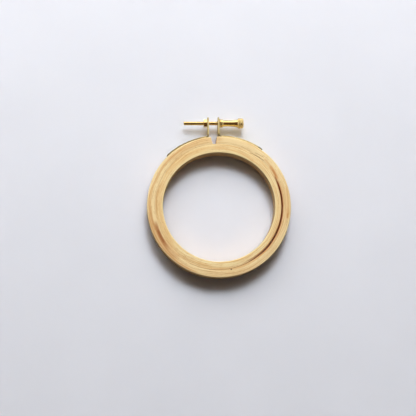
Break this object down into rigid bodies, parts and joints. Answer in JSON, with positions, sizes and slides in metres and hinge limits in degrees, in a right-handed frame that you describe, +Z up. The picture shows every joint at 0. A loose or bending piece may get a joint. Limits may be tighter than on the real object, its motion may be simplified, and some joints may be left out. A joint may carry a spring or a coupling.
{
  "type": "embroidery hoop",
  "caption": "Round wooden embroidery hoop: a closed inner ring lies inside a split outer ring that brass brackets and a thumb screw draw tight.",
  "frame": {"origin": "under the middle of the hoop and its screw, on the surface that the hoop lies on", "axes": "+Z up out of the hoop's plane, +Y from the rings to the screw, +X along the screw from its tip to its grip"},
  "size_m": [0.08, 0.0913, 0.009],
  "materials": {
    "outer_wood": "sanded, unvarnished",
    "inner_wood": "sanded, unvarnished",
    "sheet_brass": "satin",
    "turned_brass": "polished"
  },
  "bodies": {
    "outer_ring": {"outer_hoop": "outer_wood", "left_bracket": "sheet_brass", "right_bracket": "sheet_brass", "left_nail": "turned_brass", "right_nail": "turned_brass", "hex_nut": "turned_brass"},
    "inner_ring": {"inner_hoop": "inner_wood"},
    "loose_washer": {"washer": "turned_brass"},
    "thumb_screw": {"screw_rod": "turned_brass", "screw_grip": "turned_brass"}
  },
  "joints": [
    {"name": "inner_hoop_lift", "type": "slide", "parent": "outer_ring", "child": "inner_ring", "axis": [0, 0, 1], "range_m": [0, 0.015]},
    {"name": "screw_travel", "type": "slide", "parent": "outer_ring", "child": "loose_washer", "axis": [1, 0, 0], "range_m": [0, 0.009]},
    {"name": "screw_turn", "type": "hinge", "parent": "loose_washer", "child": "thumb_screw", "pos_m": [0, 0.04215, 0.0045], "axis": [1, 0, 0], "range_deg": [0, 7200]}
  ],
  "couplings": [
    {"joint": "screw_turn", "follows": "screw_travel", "rad_per_m": 13963}
  ]
}
